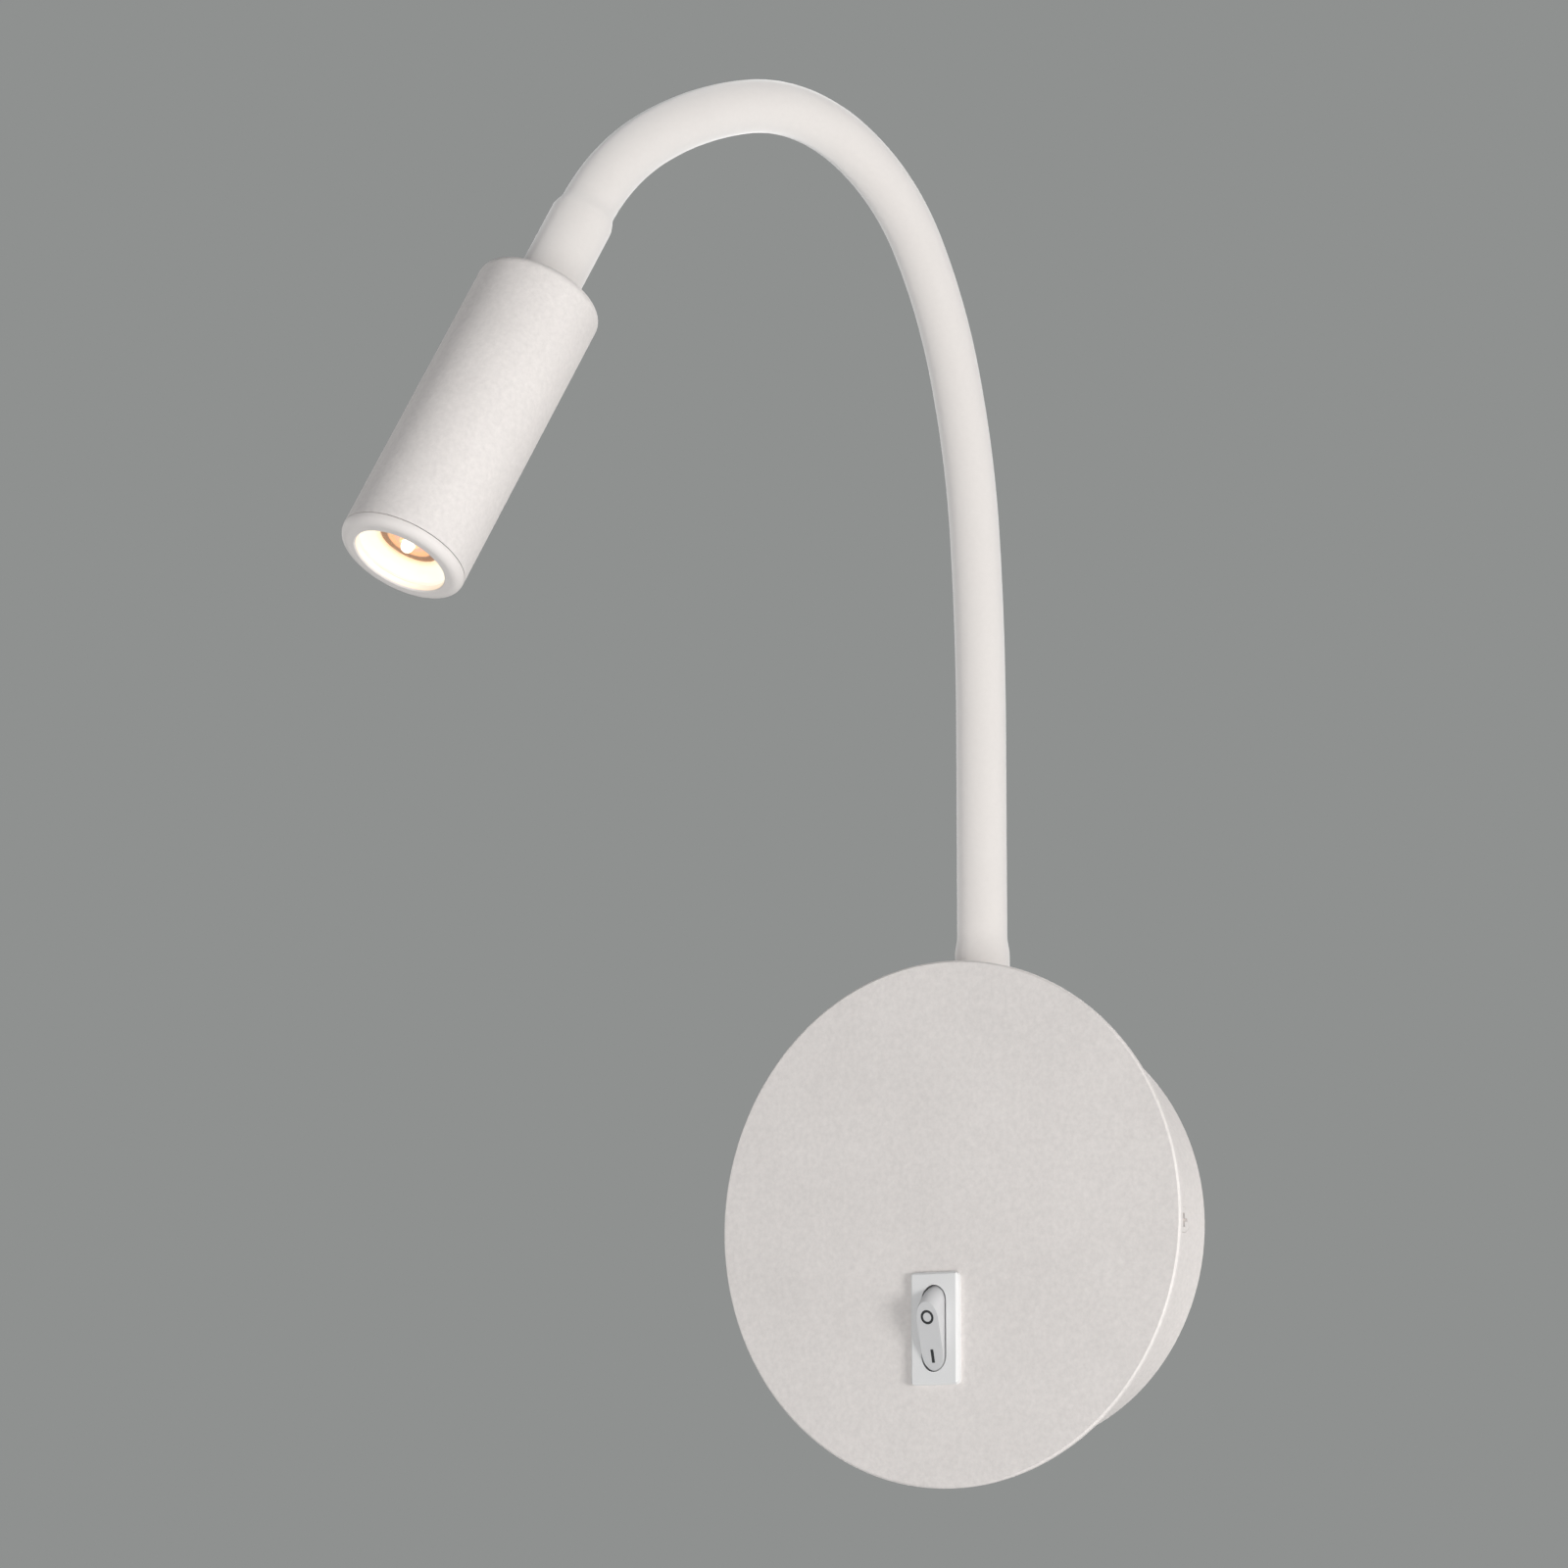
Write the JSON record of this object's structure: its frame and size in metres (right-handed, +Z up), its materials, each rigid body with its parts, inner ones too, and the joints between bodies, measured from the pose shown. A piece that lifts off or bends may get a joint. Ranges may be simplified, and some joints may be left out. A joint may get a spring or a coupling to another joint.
{
  "type": "flexible wall lamp",
  "caption": "Wall light with a round plate on a drum, a sleeved gooseneck arm that bends and holds, a cylindrical spot head and a rocker switch.",
  "frame": {"origin": "on the wall plane at the drum's axis, which is the axis of the cable entry", "axes": "+Z up, +Y into the wall, -Y to the front, +X to the right of someone who faces the lamp"},
  "size_m": [0.1302, 0.1802, 0.321],
  "materials": {
    "white_paint": "fine-textured matte powder coat",
    "silicone": "satin silicone",
    "steel": "zinc plated",
    "brass": "bright",
    "dark_rubber": "matte",
    "block_plastic": "matte",
    "driver_plastic": "matte",
    "switch_frame": "smooth moulded",
    "switch_face": "satin moulded",
    "brown_wire": "insulated wire",
    "black_wire": "insulated wire",
    "blue_wire": "insulated wire",
    "earth_wire": "insulated wire",
    "white_wire": "insulated wire",
    "bare_aluminium": "turned",
    "board_white": "solder resist",
    "phosphor": "phosphor coat",
    "mirror_white": "white reflector",
    "clear_lens": "clear"
  },
  "bodies": {
    "base": {"front_plate": "white_paint", "plate_nuts": "steel", "drum": "white_paint", "wall_bracket": "steel", "side_screws": "white_paint", "cable_grommet": "dark_rubber", "terminal_block": "block_plastic", "terminal_screws": "steel", "earth_screw": "brass", "driver_case": "driver_plastic", "wire_live": "brown_wire", "wire_switched": "black_wire", "wire_neutral": "blue_wire", "wire_earth": "earth_wire", "wires_base": "white_wire", "switch_body": "switch_frame", "switch_terminals": "brass", "base_ferrule": "steel", "base_washer": "steel", "base_nut": "steel", "core_base": "steel", "sleeve_base": "silicone"},
    "rocker": {"switch_rocker": "switch_face", "rocker_plunger": "steel"},
    "lever": {"contact_lever": "brass"},
    "link_1": {"core_1": "steel", "sleeve_1": "silicone", "wires_1": "white_wire"},
    "link_2": {"core_2": "steel", "sleeve_2": "silicone", "wires_2": "white_wire"},
    "link_3": {"core_3": "steel", "sleeve_3": "silicone", "wires_3": "white_wire"},
    "link_4": {"core_4": "steel", "sleeve_4": "silicone", "wires_4": "white_wire"},
    "link_5": {"core_5": "steel", "sleeve_5": "silicone", "wires_5": "white_wire"},
    "link_6": {"core_6": "steel", "sleeve_6": "silicone", "wires_6": "white_wire"},
    "link_7": {"core_7": "steel", "sleeve_7": "silicone", "wires_7": "white_wire"},
    "head": {"core_head": "steel", "sleeve_head": "silicone", "wires_head": "white_wire", "head_ferrule": "steel", "head_nut": "steel", "head_housing": "white_paint", "heat_sink": "bare_aluminium", "led_board": "board_white", "led_chip": "phosphor", "board_screws": "steel", "reflector": "mirror_white", "lens": "clear_lens", "front_ring": "white_paint"}
  },
  "joints": [
    {"name": "rocker_tip", "type": "hinge", "parent": "base", "child": "rocker", "pos_m": [-0.0026, -0.0272, -0.0239], "axis": [1, 0, 0], "range_deg": [-31.4, 0]},
    {"name": "lever_tip", "type": "hinge", "parent": "base", "child": "lever", "pos_m": [-0.0026, -0.0196, -0.0239], "axis": [1, 0, 0], "range_deg": [0, 16.1]},
    {"name": "bend_1", "type": "hinge", "parent": "base", "child": "link_1", "pos_m": [0, -0.0137, 0.072], "axis": [0.9397, -0.342, 0], "range_deg": [0, 30], "deforming": ["sleeve_base", "sleeve_1", "wires_base", "wires_1"]},
    {"name": "sway_2", "type": "hinge", "parent": "link_1", "child": "link_2", "pos_m": [0, -0.0137, 0.116], "axis": [-0.342, -0.9397, 0], "range_deg": [-25, 25], "deforming": ["sleeve_1", "sleeve_2", "wires_1", "wires_2"]},
    {"name": "bend_3", "type": "hinge", "parent": "link_2", "child": "link_3", "pos_m": [-0.00056, -0.01525, 0.16196], "axis": [0.9397, -0.342, 0], "range_deg": [-8, 20], "deforming": ["sleeve_2", "sleeve_3", "wires_2", "wires_3"]},
    {"name": "sway_4", "type": "hinge", "parent": "link_3", "child": "link_4", "pos_m": [-0.00275, -0.02125, 0.20139], "axis": [0.3314, 0.9106, 0.247], "range_deg": [-25, 25], "deforming": ["sleeve_3", "sleeve_4", "wires_3", "wires_4"]},
    {"name": "bend_5", "type": "hinge", "parent": "link_4", "child": "link_5", "pos_m": [-0.00647, -0.03146, 0.22928], "axis": [0.9397, -0.342, 0], "range_deg": [-33, 8], "deforming": ["sleeve_4", "sleeve_5", "wires_4", "wires_5"]},
    {"name": "bend_6", "type": "hinge", "parent": "link_5", "child": "link_6", "pos_m": [-0.01363, -0.05115, 0.25015], "axis": [0.9397, -0.342, 0], "range_deg": [-33, 8], "deforming": ["sleeve_5", "sleeve_6", "wires_5", "wires_6"]},
    {"name": "bend_7", "type": "hinge", "parent": "link_6", "child": "link_7", "pos_m": [-0.02358, -0.0785, 0.25375], "axis": [0.9397, -0.342, 0], "range_deg": [-25, 12], "deforming": ["sleeve_6", "sleeve_7", "wires_6", "wires_7"]},
    {"name": "sway_8", "type": "hinge", "parent": "link_7", "child": "head", "pos_m": [-0.03292, -0.10414, 0.24166], "axis": [0.1903, 0.5227, -0.831], "range_deg": [-30, 30], "deforming": ["sleeve_7", "sleeve_head", "wires_7", "wires_head"]}
  ],
  "couplings": [
    {"joint": "lever_tip", "follows": "rocker_tip", "ratio": -0.5096}
  ]
}
